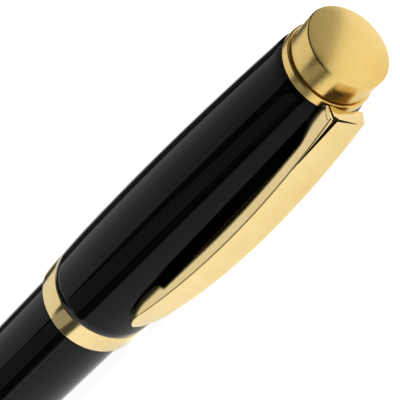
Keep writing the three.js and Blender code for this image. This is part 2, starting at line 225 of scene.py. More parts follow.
def set_inputs(tree, node, inputs):
    """Gives each input a value, or a link where it is given another node's socket."""
    for name, value in inputs.items():
        if isinstance(value, bpy.types.NodeSocket):
            tree.links.new(value, node.inputs[name])
        else:
            node.inputs[name].default_value = value


def add_node(tree, kind, inputs=None, **settings):
    """Adds a node with its settings, its values and its links."""
    node = tree.nodes.new(kind)
    for name, value in settings.items():
        setattr(node, name, value)
    set_inputs(tree, node, inputs or {})
    return node


def start_material(name):
    """A new material and its tree, with the Principled shader that it starts from."""
    material = bpy.data.materials.new(name)
    material.use_nodes = True
    return material, material.node_tree, material.node_tree.nodes["Principled BSDF"]


def per_mm(size):
    """The scale of a texture whose features are that many millimetres across."""
    return 1 / (size * MM)


def vary(tree, shader, pattern, tones, gloss):
    """Lets a 0 to 1 pattern run the colour between two tones and the roughness over a range."""
    first, second = colour(tones[0]), colour(tones[1])
    tone = add_node(tree, "ShaderNodeMixRGB", {"Fac": pattern, "Color1": first, "Color2": second})
    sheen = add_node(tree, "ShaderNodeMapRange",
                     {"Value": pattern, "To Min": gloss[0], "To Max": gloss[1]})
    set_inputs(tree, shader, {"Base Color": tone.outputs["Color"],
                              "Roughness": sheen.outputs["Result"]})


print("mid grey #808080 in linear light:", round(colour("#808080")[0], 3))

# %% [markdown]
# ## Black gloss lacquer
# The brass is sprayed with several coats of black lacquer, which are rubbed down and polished. The
# eye gets a near-black body with sharp reflections that grow stronger where the surface turns
# away. Slow waves of the film, called orange peel, bend the reflections a little, and handling
# leaves a faint haze. The index is that of acrylic lacquer, and the reflection seen head on is
# turned down below its four per cent, because the real black stays deep under the lamps.

# %% Black gloss lacquer
def make_lacquer():
    material, tree, shader = start_material("black_gloss_lacquer")
    place = add_node(tree, "ShaderNodeTexCoord").outputs["Object"]
    haze = add_node(tree, "ShaderNodeTexNoise",
                    {"Vector": place, "Scale": per_mm(6), "Detail": 5, "Roughness": 0.6})
    peel = add_node(tree, "ShaderNodeTexNoise",
                    {"Vector": place, "Scale": per_mm(1.6), "Detail": 1})
    waves = add_node(tree, "ShaderNodeBump",
                     {"Height": peel.outputs["Fac"], "Distance": 0.0006 * MM})
    vary(tree, shader, haze.outputs["Fac"], ("#050506", "#0D0D0F"), (0.03, 0.075))
    set_inputs(tree, shader, {"Normal": waves.outputs["Normal"], "IOR": 1.52,
                              "Specular IOR Level": 0.16})
    return material


LACQUER = make_lacquer()
print(LACQUER.name, "has", len(LACQUER.node_tree.nodes), "nodes")

# %% [markdown]
# ## Gold plate, polished and satin
# Brass is polished on a mop, plated with nickel and then with a pale gold. The colour is the
# metal's own reflection. The mop leaves a fine grain that softens the mirror a little. The finial
# and the clip ring are brushed before they are plated, so their grain is deeper and what they
# reflect is a blur. Both grains are drawn coarser than life so that they show at all.

# %% Gold plate
def make_gold(name, tones, gloss, grain_depth):
    material, tree, shader = start_material(name)
    place = add_node(tree, "ShaderNodeTexCoord").outputs["Object"]
    cloud = add_node(tree, "ShaderNodeTexNoise",
                     {"Vector": place, "Scale": per_mm(3.5), "Detail": 4, "Roughness": 0.6})
    grain = add_node(tree, "ShaderNodeTexNoise",
                     {"Vector": place, "Scale": per_mm(0.16), "Detail": 2})
    marks = add_node(tree, "ShaderNodeBump",
                     {"Height": grain.outputs["Fac"], "Distance": grain_depth * MM})
    vary(tree, shader, cloud.outputs["Fac"], tones, gloss)
    set_inputs(tree, shader, {"Normal": marks.outputs["Normal"], "Metallic": 1})
    return material


GOLD = make_gold("polished_gold_plate", ("#DEC98F", "#E9D6A9"), (0.10, 0.18), 0.0008)
SATIN_GOLD = make_gold("satin_gold_plate", ("#D9BC74", "#E8D090"), (0.22, 0.32), 0.009)
print(GOLD.name, "and", SATIN_GOLD.name, "made")

# %% [markdown]
# ## Turned brass and steel
# The hidden bushes are left as the lathe leaves them: yellow brass with fine rings from the tool,
# which draw each highlight out along the pen. Steel parts are turned the same way. The rings run
# round the axis, so the pattern changes only along it. The sheared edges of the clip's sheet are
# bare brass too and dull, but painted far darker than brass, as painted shade inside the thin gaps.

# %% Turned metals
RING_PITCH = 0.12
RING_DEPTH = 0.004


def make_turned_metal(name, tones, roughness):
    material, tree, shader = start_material(name)
    place = add_node(tree, "ShaderNodeTexCoord").outputs["Object"]
    along = add_node(tree, "ShaderNodeSeparateXYZ", {"Vector": place}).outputs["X"]
    rings = add_node(tree, "ShaderNodeTexNoise",
                     {"W": along, "Scale": per_mm(RING_PITCH), "Detail": 2},
                     noise_dimensions="1D").outputs["Fac"]
    grooves = add_node(tree, "ShaderNodeBump", {"Height": rings, "Distance": RING_DEPTH * MM})
    vary(tree, shader, rings, tones, (roughness * 0.8, roughness * 1.3))
    set_inputs(tree, shader, {"Normal": grooves.outputs["Normal"], "Metallic": 1})
    return material


# Bare dull brass for the gap faces, painted almost black as painted shade in the clip's thin gaps.
GAP_SHADE_BRASS = make_turned_metal("bare_brass_painted_gap_shade", ("#3A2C14", "#5C4722"), 0.5)
BRASS = make_turned_metal("bare_turned_brass", ("#A88340", "#CFAE62"), 0.24)
STEEL = make_turned_metal("turned_stainless_steel", ("#9FA2A6", "#CFD1D4"), 0.2)
print("tool rings", RING_PITCH, "mm apart on", BRASS.name, "and", STEEL.name)

# %% [markdown]
# ## Moulded plastic and rubber
# The liner and plugs are moulded in polypropylene, with the fine grain of a spark-eroded mould.
# The seal is nitrile rubber, which is duller still. The grain scatters the light, so the eye gets
# a soft even sheen and no reflections.

# %% Moulded plastic and rubber
def make_grained(name, tones, roughness, grain, depth, ior):
    material, tree, shader = start_material(name)
    place = add_node(tree, "ShaderNodeTexCoord").outputs["Object"]
    pattern = add_node(tree, "ShaderNodeTexNoise",
                       {"Vector": place, "Scale": per_mm(grain), "Detail": 3}).outputs["Fac"]
    pits = add_node(tree, "ShaderNodeBump", {"Height": pattern, "Distance": depth * MM})
    vary(tree, shader, pattern, tones, (roughness * 0.85, roughness * 1.2))
    set_inputs(tree, shader, {"Normal": pits.outputs["Normal"], "IOR": ior})
    return material


LINER_PLASTIC = make_grained("black_polypropylene", ("#141416", "#1F1F22"), 0.42, 0.15, 0.004, 1.49)
RUBBER = make_grained("nitrile_rubber", ("#0E0E0E", "#1A1A1A"), 0.7, 0.2, 0.006, 1.52)
print(LINER_PLASTIC.name, "and", RUBBER.name, "made")

# %% [markdown]
# ## Extruded plastic and fibre
# The refill tube is extruded, and the die leaves faint lines along it, which break its sheen into
# streaks. The ink sits in bonded polyester fibre that runs along the refill too, dark and matt.
# The pattern is the same noise as before, stretched along the pen until its grains are lines.

# %% Extruded plastic and fibre
ALONG_SQUEEZE = (0.03, 1, 1)
LINE_DEPTH = 0.01


def make_lengthwise(name, tones, roughness, width):
    material, tree, shader = start_material(name)
    place = add_node(tree, "ShaderNodeTexCoord").outputs["Object"]
    squeezed = add_node(tree, "ShaderNodeMapping", {"Vector": place, "Scale": ALONG_SQUEEZE})
    lines = add_node(tree, "ShaderNodeTexNoise",
                     {"Vector": squeezed.outputs["Vector"], "Scale": per_mm(width),
                      "Detail": 2}).outputs["Fac"]
    first, second = colour(tones[0]), colour(tones[1])
    tone = add_node(tree, "ShaderNodeMixRGB", {"Fac": lines, "Color1": first, "Color2": second})
    ridges = add_node(tree, "ShaderNodeBump", {"Height": lines, "Distance": LINE_DEPTH * MM})
    set_inputs(tree, shader, {"Base Color": tone.outputs["Color"], "Roughness": roughness,
                              "Normal": ridges.outputs["Normal"]})
    return material


TUBE_PLASTIC = make_lengthwise("white_polypropylene", ("#C9CCCE", "#E0E2E3"), 0.35, 0.3)
INK_FIBRE = make_lengthwise("ink_soaked_fibre", ("#10142E", "#2A3160"), 0.9, 0.08)
print(TUBE_PLASTIC.name, "and", INK_FIBRE.name, "made")

# %% [markdown]
# ## The cap
# The cap is a brass tube, spun to a gentle cigar shape and lacquered. Its swell is a parabola on
# each side of the widest station, so two numbers give the whole outline. The spigot at its mouth
# is reduced to take the gold band.

# %% The cap shell
CAP_WIDEST_STATION = 11
CAP_RADIUS = (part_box("cap_shell")[1].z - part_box("cap_shell")[0].z) / 2 / MM
CAP_FALL = 0.00075
MOUTH_FALL = 0.0021
SHELL_TOP = 52


def cap_radius(station):
    fall = CAP_FALL if station > CAP_WIDEST_STATION else MOUTH_FALL
    return CAP_RADIUS - fall * (station - CAP_WIDEST_STATION) ** 2


def steps_between(start, end, count):
    return [start + (end - start) * step / count for step in range(count + 1)]


cap_side = [(station, cap_radius(station)) for station in steps_between(3.66, 50.6, 40)]
cap_shell = turned("cap_lacquered_shell", [
    (0.25, 5.55), (0.25, 5.95), (3.48, 5.95), (3.48, cap_radius(3.48) - 0.1, 0.06),
    *cap_side, (50.9, 5.42, 0.12), (51.5, 5.33, 0.2), (SHELL_TOP, 5.08), (SHELL_TOP, 1.6),
    (50.2, 1.6), (50.2, 4.3), (36, 5.25), (9, 5.25), (9, 5.55),
])
cap_shell.data.materials.append(LACQUER)
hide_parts("cap_shell")
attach(cap_shell, "cap")

# %% [markdown]
# ## The cap's gold trim
# The band, the clip ring and the finial are turned from brass bar and plated. Sharp edges would
# cut cloth and wear through the plating, so each has a small bevel, which catches the light as a
# thin bright line.

# %% Band, ring and finial
cap_band = turned("cap_band_gold", [
    (0, 6.0), (0, 6.34, 0.03), (0.16, 6.5, 0.05), (3.27, 6.49, 0.05), (3.43, 6.33, 0.03),
    (3.43, 6.0),
])
clip_ring = turned("clip_ring_gold", [
    (52.05, 1.6), (52.05, 5.08, 0.03), (52.17, 5.2, 0.04), (53.03, 5.15, 0.04),
    (53.15, 5.03, 0.03), (53.15, 1.6),
])

FINIAL_RIM = 56.6
CROWN_TOP = (cad_high.x - RIM) / MM
FINIAL_RADIUS = (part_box("finial")[1].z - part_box("finial")[0].z) / 2 / MM


def crown(rim, radius, top, count):
    """An arc of a sphere from the rim to the axis."""
    rise = top - rim
    sphere = (radius ** 2 + rise ** 2) / (2 * rise)
    opening = math.asin(radius / sphere)
    angles = [opening * (1 - step / count) for step in range(1, count + 1)]
    return [(top - sphere * (1 - math.cos(angle)), sphere * math.sin(angle)) for angle in angles]


finial = turned("finial_gold", [
    (55.4, 0), (55.4, 1.2), (53.2, 1.2), (53.2, 4.55), (53.38, 4.55),
    (53.4, FINIAL_RADIUS - 0.05, 0.04), (FINIAL_RIM - 0.12, FINIAL_RADIUS, 0.08),
    (FINIAL_RIM, FINIAL_RADIUS - 0.12, 0.06), *crown(FINIAL_RIM, FINIAL_RADIUS - 0.12, CROWN_TOP, 16),
])
CAP_TRIM = ((cap_band, "cap_band", GOLD), (clip_ring, "clip_ring", SATIN_GOLD),
            (finial, "finial", SATIN_GOLD))
for piece, node, finish in CAP_TRIM:
    piece.data.materials.append(finish)
    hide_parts(node)
    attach(piece, "cap")

# %% [markdown]
# ## The barrel
# The barrel is a lacquered brass tube too. It keeps its width for most of its length and then
# draws in faster and faster towards the tail, which a steep power of the distance gives.

# %% The barrel and its tail
BARREL_RADIUS = 5.98
TAPER_START = -8
TAPER_POWER = 3.5
TAPER = 6.69e-7


def barrel_radius(station):
    return BARREL_RADIUS - TAPER * max(0, TAPER_START - station) ** TAPER_POWER


barrel_side = [(station, barrel_radius(station)) for station in steps_between(-76.3, -1, 48)]
barrel = turned("barrel_lacquered_tube", [
    (-76.5, 1.3), (-76.5, 4.12, 0.05), *barrel_side, (-0.4, BARREL_RADIUS, 0.1),
    (-0.25, BARREL_RADIUS - 0.15, 0.05), (-0.25, 5.15), (-7.5, 5.15), (-7.5, 4.7), (-52, 4.5),
    (-66, 3.5), (-74.9, 3.3), (-74.9, 1.3),
])
barrel.data.materials.append(LACQUER)
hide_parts("barrel_tube")
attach(barrel, "barrel")

tail_ring = turned("tail_ring_gold", [
    (-77.75, 1.3), (-77.75, 4.1, 0.04), (-77.65, 4.2, 0.05), (-76.65, 4.25, 0.05),
    (-76.55, 4.15, 0.04), (-76.55, 1.3),
])
tail_finial = turned("tail_finial_gold", [
    (-82.5, 0), (-82.5, 2.2, 0.3), (-82.3, 2.75, 0.2), (-81.8, 3.35, 0.25), (-81, 3.75, 0.3),
    (-80, 3.9, 0.3), (-78.05, 3.95, 0.05), (-77.95, 3.6), (-77.8, 3.6), (-77.8, 1.2),
    (-80.2, 1.2), (-80.2, 0),
])
for piece, node in ((tail_ring, "tail_ring"), (tail_finial, "tail_finial")):
    piece.data.materials.append(GOLD)
    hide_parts(node)
    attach(piece, "barrel")

# %% [markdown]
# ## The grip section
# With the cap off, the writer holds a lacquered grip that narrows a little towards the fingers. A
# gold ring behind it carries a bead for the cap to click over, and a gold cone in front holds the
# refill's tip. These are spun from their outlines like the rest.

# %% Grip, ring and nose cone
grip_section = turned("grip_lacquered_section", [
    (0.45, 3.95), (0.45, 4.4), (2.7, 4.4), (2.7, 4.84, 0.05), (6, 4.72, 0.6), (9, 4.58, 1),
    (15, 4.4, 2), (22, 4.27, 2), (28, 4.22, 1.5), (32, 4.3, 0.05), (32, 3.8), (28.3, 3.8),
    (28.3, 3.25), (6.2, 3.25), (6.2, 3.95),
])
grip_section.data.materials.append(LACQUER)
section_ring = turned("section_ring_gold", [
    (0.4, 4.45), (0.4, 4.8, 0.02), (0.5, 4.86, 0.03), (1.9, 4.86, 0.1), (2.1, 5, 0.06),
    (2.45, 5, 0.06), (2.65, 4.88, 0.03), (2.65, 4.45),
])
nose_cone = turned("nose_cone_gold", [
    (28.5, 3.3), (28.5, 3.75), (32.1, 3.75), (32.1, 4.2, 0.05), (32.3, 4.3, 0.08),
    (33.4, 4.22, 0.4), (35, 3.6, 0.6), (37.2, 2.35, 0.5), (38.2, 1.85, 0.2), (38.6, 1.65, 0.08),
    (38.6, 1.45), (36.6, 1.45), (33.5, 3.3),
])
for piece, node in ((section_ring, "section_ring"), (nose_cone, "nose_cone")):
    piece.data.materials.append(GOLD)
    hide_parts(node)
    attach(piece, "section")
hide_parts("grip_section")
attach(grip_section, "section")

# %% [markdown]
# ## The refill
# The refill is an extruded tube with a moulded plug behind and a moulded holder in front, into
# which a turned steel tip is pressed. The ball is held by the lip of that tip.

# %% Refill tube, plug, holder and tip
refill_tube = turned("refill_tube_plastic", [
    (-67.4, 2.5), (-67.4, 3, 0.1), (31, 3, 0.1), (31, 2.5),
], facets=64)
refill_plug = turned("refill_plug_plastic", [
    (-68.7, 0.4), (-68.7, 2.8, 0.15), (-68.4, 3, 0.1), (-67.5, 3), (-67.5, 2.45), (-64.5, 2.45),
    (-64.5, 0.4),
], facets=64)
tip_holder = turned("tip_holder_plastic", [
    (28, 0.95), (28, 2.45), (31.05, 2.45), (31.05, 3, 0.1), (32, 3, 0.3), (34.9, 2.05, 0.15),
    (35.2, 1.7, 0.1), (35.2, 0.95),
], facets=64)
refill_tip = turned("refill_tip_steel", [
    (31.2, 0.25), (31.2, 0.9), (35.25, 0.9), (35.25, 1.3, 0.1), (36.5, 1.2), (36.7, 1.15),
    (39.3, 1.15, 0.15), (41.2, 0.5, 0.1), (41.62, 0.4, 0.02), (41.62, 0.335), (41.53, 0.385),
    (41.35, 0.385), (41.09, 0.25),
], facets=64)
REFILL_FINISH = (
    (refill_tube, "refill_tube", TUBE_PLASTIC, "refill_plastic"),
    (refill_plug, "refill_end_plug", LINER_PLASTIC, "black_plastic"),
    (tip_holder, "tip_holder", LINER_PLASTIC, "black_plastic"),
    (refill_tip, "refill_tip", STEEL, "steel"),
)
for piece, node, finish, slot in REFILL_FINISH:
    piece.data.materials.append(finish)
    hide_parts(node)
    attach(piece, "refill")

# %% [markdown]
# ## The ball
# The writing ball is ground from tungsten carbide to a mirror. Its outline is half a circle that
# starts and ends on the axis, and the same spin as before makes it a sphere. Its radius and its
# place are those of the engineering model's ball.

# %% The writing ball
ball_low, ball_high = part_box("writing_ball")
BALL_RADIUS = (ball_high.x - ball_low.x) / 2 / MM
BALL_STATION = ((ball_low.x + ball_high.x) / 2 - RIM) / MM
HALF_CIRCLE = [math.radians(angle) for angle in range(0, 181, 9)]
writing_ball = turned("writing_ball_ground", [
    (BALL_STATION - BALL_RADIUS * math.cos(angle), BALL_RADIUS * math.sin(angle))
    for angle in HALF_CIRCLE
], facets=64)
writing_ball.data.materials.append(STEEL)
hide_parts("writing_ball")
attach(writing_ball, "ball")
print("ball of", round(2 * BALL_RADIUS, 2), "mm")

# %% [markdown]
# ## The clip: its measures
# The clip is one piece of sheet brass. Its front plate bows away from the cap, and both long sides
# and the head end are folded down. The fold's depth changes along the clip: deep at the head,
# where it reaches over the ring, shallow in the middle, and deep again in the lobe that rides on
# the cap. Heights are from the pen's axis, and widths are half of the plate's.

# %% The clip's plate
CLIP_TIP = 8.6
CLIP_HEAD = 53.95
CLIP_APEX = 31
CLIP_APEX_HEIGHT = 9.75
CLIP_BOW = 0.00427
NOSE_START = 9.4
NOSE_DROP = 0.12
ROUNDING_START = 14
WIDTH_STATION = 54.2
HALF_WIDTH_APEX = 1.92
HALF_WIDTH_HEAD = 2.05
NARROWING = 0.00065
LEAST_HALF_WIDTH = 0.25


def clip_top(station):
    """The plate's height: a parabola, with its last millimetre at the tip turned down."""
    nose = max(0, NOSE_START - station) / (NOSE_START - CLIP_TIP)
    return CLIP_APEX_HEIGHT - CLIP_BOW * (station - CLIP_APEX) ** 2 - NOSE_DROP * nose ** 2


def clip_half_width(station):
    """Half the plate's width: widest at the head, narrowing to a tip with a round end."""
    share = (station - CLIP_APEX) / (WIDTH_STATION - CLIP_APEX)
    taper = HALF_WIDTH_APEX + (HALF_WIDTH_HEAD - HALF_WIDTH_APEX) * share
    narrowing = NARROWING * max(0, CLIP_APEX - station) ** 2
    into_tip = max(0, ROUNDING_START - station) / (ROUNDING_START - CLIP_TIP)
    rounding = math.sqrt(max(0, 1 - into_tip ** 2))
    return max(LEAST_HALF_WIDTH, (taper - narrowing) * rounding)


print("plate at the head:", round(2 * clip_half_width(CLIP_HEAD), 2), "mm wide,",
      round(clip_top(CLIP_HEAD), 2), "mm above the axis")

# %% [markdown]
# ## The clip: its lower edge
# The sides end in one long edge, trimmed by the press tool. Its height is given at a few stations,
# closer together where the lobe and the head shape it, and a smooth curve runs through them. Each
# slope is taken from the neighbours, so the curve has no corner at the given heights.

# %% The clip's lower edge
LOWER_EDGE = [
    (8.6, 7.05), (9.0, 6.9), (9.8, 6.78), (11.5, 6.74), (13.5, 6.73), (15.6, 6.74), (16.8, 6.84),
    (17.6, 7.1), (18.15, 7.5), (18.6, 7.9), (19.3, 7.98), (24, 8.05), (30, 8.18), (36, 8.05),
    (42, 7.6), (46.4, 7.12), (48.2, 6.88), (49.3, 6.35), (50.3, 5.75), (51.4, 5.38), (52.4, 5.28),
    (53.2, 5.42), (53.7, 5.65), (53.95, 5.85),
]


def lower_edge(station):
    last = len(LOWER_EDGE) - 1
    index = max(i for i in range(last) if LOWER_EDGE[i][0] <= station)
    before, here, there, after = (LOWER_EDGE[max(0, min(last, index + k))] for k in (-1, 0, 1, 2))
    span = there[0] - here[0]
    slope_here = (there[1] - before[1]) / (there[0] - before[0]) * span
    slope_there = (after[1] - here[1]) / (after[0] - here[0]) * span
    t = (station - here[0]) / span
    return ((2 * t ** 3 - 3 * t ** 2 + 1) * here[1] + (t ** 3 - 2 * t ** 2 + t) * slope_here
            + (3 * t ** 2 - 2 * t ** 3) * there[1] + (t ** 3 - t ** 2) * slope_there)


print("side depth in the lobe and the middle, mm:",
      [round(clip_top(station) - lower_edge(station), 2) for station in (14, 30)])

# %% [markdown]
# ## The clip: its section
# A cut across the clip shows a channel: a slightly crowned plate, two rounded folds, and two sides
# that bulge a little. It is drawn once at a standard size, by extruding a point round it and
# filling the loop. The clip is modelled upright, with its plate on top, and turned later.

# %% The channel's section
SHEET = 0.5
FOLD = 0.32
CROWN = 0.07
FLANK_BULGE = 0.05
SECTION_WIDTH = 2.0
SECTION_DEPTH = 3.0


def channel_section():
    """The channel's outline as (across, height from the plate), from one lower edge round."""
    half, depth = SECTION_WIDTH, SECTION_DEPTH
    turn = [math.radians(angle) for angle in (0, 18, 36, 54, 72)]
    fold = [(half - FOLD + FOLD * math.cos(a), FOLD * math.sin(a) - FOLD) for a in turn]
    flat = half - FOLD
    plate = [(y, CROWN * (1 - (y / flat) ** 2)) for y in steps_between(flat, -flat, 10)]
    outside = [(half, -depth), (half + FLANK_BULGE, -depth / 2), *fold, *plate,
               *[(-y, z) for y, z in reversed(fold)], (-half - FLANK_BULGE, -depth / 2),
               (-half, -depth)]
    inner = half - SHEET
    return outside + [(-inner, -depth), (-inner, -SHEET), (inner, -SHEET), (inner, -depth)]


def draw_section(name, outline, station):
    deselect()
    bpy.ops.mesh.primitive_plane_add(size=MM)
    piece = bpy.context.object
    piece.name = piece.data.name = name
    bpy.ops.object.mode_set(mode="EDIT")
    bpy.ops.mesh.select_all(action="SELECT")
    bpy.ops.mesh.merge(type="CENTER")
    bpy.ops.transform.translate(value=Vector((station, *outline[0])) * MM)
    for here, there in zip(outline, outline[1:]):
        step = Vector((0, there[0] - here[0], there[1] - here[1])) * MM
        bpy.ops.mesh.extrude_region_move(TRANSFORM_OT_translate={"value": step})
    bpy.ops.mesh.select_all(action="SELECT")
    bpy.ops.mesh.edge_face_add()
    return piece


print("the section has", len(channel_section()), "corners")

# %% [markdown]
# ## The clip: its rows
# The section is extruded from row to row along the clip. The rows lie close together where the
# outline changes fast, which is at the round tip, under the lobe and at the head.

# %% The clip's rows
def clip_rows():
    radius = ROUNDING_START - CLIP_TIP
    tip = [ROUNDING_START - radius * math.cos(math.radians(angle)) for angle in range(0, 90, 7)]
    lobe = steps_between(ROUNDING_START, 20, 20)
    middle = steps_between(21, 46, 17)
    head = steps_between(47, CLIP_HEAD - SHEET - 0.05, 22)
    return tip + lobe + middle + head + [CLIP_HEAD - SHEET, CLIP_HEAD]


CLIP_ROWS = clip_rows()
print(len(CLIP_ROWS), "rows from", CLIP_ROWS[0], "to", CLIP_ROWS[-1])

# %% [markdown]
# ## The clip: extruding it
# Each new row is moved up or down to the plate's height, narrowed about the middle, and its sides
# are shortened about the fold. Scaling about the fold keeps the rounding the same size all along,
# as a press tool does.

# %% Extruding the clip
LEAST_SIDE = 0.08
ROW_NEAR = 1e-6


def in_row(station):
    return lambda co: abs(co.x - station * MM) < NEAR


def shape_row(piece, station, width_ratio, depth_ratio, top):
    """Narrows the selected row about the middle and shortens its sides about the fold."""
    x, fold_height, ceiling = station * MM, (top - FOLD) * MM, (top - SHEET) * MM
    bpy.ops.transform.resize(value=(1, width_ratio, 1), center_override=(x, 0, fold_height))
    sides = pick(piece, lambda co: in_row(station)(co) and co.z < fold_height - ROW_NEAR
                 and abs(co.z - ceiling) > ROW_NEAR)
    if sides:
        bpy.ops.transform.resize(value=(1, 1, depth_ratio), center_override=(x, 0, fold_height))


clip = draw_section("clip_gold_sheet", channel_section(), CLIP_ROWS[0])
half, depth, top = SECTION_WIDTH, SECTION_DEPTH, 0.0
for index, station in enumerate(CLIP_ROWS):
    new_half = clip_half_width(station)
    new_top = clip_top(station)
    new_depth = max(FOLD + LEAST_SIDE, new_top - lower_edge(station))
    if index:
        move = Vector((station - CLIP_ROWS[index - 1], 0, new_top - top)) * MM
        bpy.ops.mesh.extrude_region_move(TRANSFORM_OT_translate={"value": move})
    else:
        bpy.ops.transform.translate(value=Vector((0, 0, new_top - top)) * MM)
    shape_row(clip, station, new_half / half, (new_depth - FOLD) / (depth - FOLD), new_top)
    half, depth, top = new_half, new_depth, new_top
    pick(clip, in_row(station))
print("the last row's side is", round(depth, 2), "mm deep")

# %% [markdown]
# ## The clip: closing its ends
# The tip is solid metal and the head ends in a folded flap. In those rows the channel's ceiling is
# lowered to the lower edge, which fills the channel there. The whole shell then gets its faces
# turned outwards and its plating.

# %% Closing the ends
CLIP_TIP_SOLID = 10.3
LEFT_HOLLOW = 0.02


def fill_row(piece, station):
    """Lowers the channel's ceiling almost to the lower edge, which makes the row solid."""
    ceiling = clip_top(station) - SHEET
    pick(piece, lambda co: in_row(station)(co) and abs(co.z - ceiling * MM) < ROW_NEAR)
    drop = lower_edge(station) + LEFT_HOLLOW - ceiling
    if drop < 0:
        bpy.ops.transform.translate(value=(0, 0, drop * MM))


for station in CLIP_ROWS:
    if station < CLIP_TIP_SOLID or station > CLIP_HEAD - SHEET - 0.01:
        fill_row(clip, station)
bpy.ops.mesh.select_all(action="SELECT")
bpy.ops.mesh.normals_make_consistent(inside=False)
bpy.ops.object.mode_set(mode="OBJECT")
clip.data.materials.append(GOLD)
print("clip:", len(clip.data.vertices), "vertices,", open_edges(clip), "open edges")

# %% [markdown]
# ## The clip: tools for its cuts
# A cut is a boolean with a cutter that is removed afterwards. The cut faces take over the cutter's
# material, so a wedge cutter leaves bare brass painted dark as shade. The thin gaps are cut with long
# wedges: a cube, stretched, with each of its ends set to its own width, and laid from one point to
# another.

# %% Cutting
def cut(piece, cutter):
    select_only(piece)
    modifier = piece.modifiers.new("cut", "BOOLEAN")
    modifier.operation = "DIFFERENCE"
    modifier.object = cutter
    modifier.material_mode = "TRANSFER"
    bpy.ops.object.modifier_apply(modifier=modifier.name)
    bpy.data.objects.remove(cutter)


def wedge(start, end, outward, wide, narrow, depth):
    """A cutter from start to end, wide at its start and narrow at its end, facing outward."""
    start, end, outward = Vector(start), Vector(end), Vector(outward)
    along = (end - start).normalized()
    across = outward.cross(along).normalized()
    deselect()
    bpy.ops.mesh.primitive_cube_add(size=MM)
    cutter = bpy.context.object
    bpy.ops.object.mode_set(mode="EDIT")
    bpy.ops.mesh.select_all(action="SELECT")
    bpy.ops.transform.resize(value=((end - start).length, 1, depth))
    pick(cutter, lambda co: co.x < 0)
    bpy.ops.transform.resize(value=(1, wide, 1))
    pick(cutter, lambda co: co.x > 0)
    bpy.ops.transform.resize(value=(1, narrow, 1))
    bpy.ops.object.mode_set(mode="OBJECT")
    turn = Matrix((along, across, along.cross(across))).transposed()
    cutter.matrix_world = Matrix.LocRotScale((start + end) / 2 * MM, turn, None)
    apply_place(cutter)
    # The wedge carries the gap brass, painted dark as shade for the faces that it cuts.
    cutter.data.materials.append(GAP_SHADE_BRASS)
    return cutter


print("the clip is", round(CLIP_HEAD - CLIP_TIP, 2), "mm long before its cuts")

# %% [markdown]
# ## The clip: open corner
# Where three folded faces meet, a press tool leaves the corner open, and a thin gap runs back
# along each fold until the metal is whole again. Three wedges make the gaps, wide at the corner
# and fine at the end, and a fourth opens the corner itself. No plating reaches the sheared faces,
# and their brass is painted dark as painted shade in the gaps.

# %% Cutting the corner gaps
HEAD_TOP = clip_top(CLIP_HEAD)
GROOVE_END = 46.3
ALONG_THE_FOLD = ((CLIP_HEAD + 0.3, 1.46, HEAD_TOP), (GROOVE_END, 1.93, clip_top(GROOVE_END) - 0.05),
                  (0, 0.5, 0.87), 0.5, 0.05, 0.9)
ACROSS_THE_HEAD = ((CLIP_HEAD, 1.66, HEAD_TOP - 0.02), (CLIP_HEAD, -1.1, HEAD_TOP - 0.02),
                   (0.7, 0, 0.7), 0.3, 0.04, 0.6)
DOWN_THE_HEAD = ((CLIP_HEAD, 1.58, HEAD_TOP + 0.1), (CLIP_HEAD, 1.98, 5.6), (0.9, 0.43, 0),
                 0.3, 0.12, 0.7)
AT_THE_CORNER = ((CLIP_HEAD, 1.5, HEAD_TOP), (CLIP_HEAD - 0.35, 1.5, HEAD_TOP + 0.3),
                 (0.5, 0, 0.8), 0.75, 0.2, 0.7)
for start, end, outward, wide, narrow, gap_depth in (ALONG_THE_FOLD, ACROSS_THE_HEAD,
                                                     DOWN_THE_HEAD, AT_THE_CORNER):
    cut(clip, wedge(start, end, outward, wide, narrow, gap_depth))
print("clip with its gaps:", len(clip.data.polygons), "faces,", open_edges(clip), "open edges")

# %% [markdown]
# ## The clip: the flap's arch
# The flap at the head is trimmed to a shallow arch, which leaves room for the round neck under the
# finial. A cylinder across the flap cuts it, and carries the gold, since this edge is plated. A
# small bevel then takes the edge off every fold and cut, so that each catches the light.

# %% The flap's arch and the bevel
ARCH_RADIUS = 3.8
ARCH_TOP = 6.15
ARCH_LENGTH = 1.1
deselect()
bpy.ops.mesh.primitive_cylinder_add(
    vertices=96, radius=ARCH_RADIUS * MM, depth=ARCH_LENGTH * MM, rotation=(0, math.pi / 2, 0),
    location=Vector((CLIP_HEAD, 0, ARCH_TOP - ARCH_RADIUS)) * MM)
arch_cutter = bpy.context.object
apply_place(arch_cutter)
arch_cutter.data.materials.append(GOLD)
cut(clip, arch_cutter)

bevel = clip.modifiers.new("edges", "BEVEL")
bevel.width = 0.06 * MM
bevel.segments = 3
bevel.angle_limit = math.radians(45)
select_only(clip)
bpy.ops.object.modifier_apply(modifier=bevel.name)
print("clip after its cuts:", len(clip.data.polygons), "faces,", open_edges(clip), "open edges")

# %% [markdown]
# ## The clip: into place
# The pen lies on its side and leans on the clip, so the clip points down and towards the front.
# The direction across the clip is the hinge axis that the engineering model gives it.

# %% Turning the clip into place
hinge = next(joint for joint in frame["joints"] if joint["name"] == "clip_flex")
across_clip = Vector(hinge["axis"])
CLIP_TURN = math.atan2(across_clip.z, across_clip.y)
clip.rotation_euler = (CLIP_TURN, 0, 0)
clip.location = at(0, 0)
apply_place(clip)
bpy.ops.object.shade_smooth_by_angle(angle=SMOOTH_ANGLE)
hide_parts("clip")
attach(clip, "clip")
print("clip turned by", round(math.degrees(CLIP_TURN), 2), "degrees")

# %% [markdown]
# ## Pieces that keep their engineering shape
# Threads, the spring, the nut and the other hidden pieces already have the right shape, so they
# only get a finish. Each keeps its own mesh.

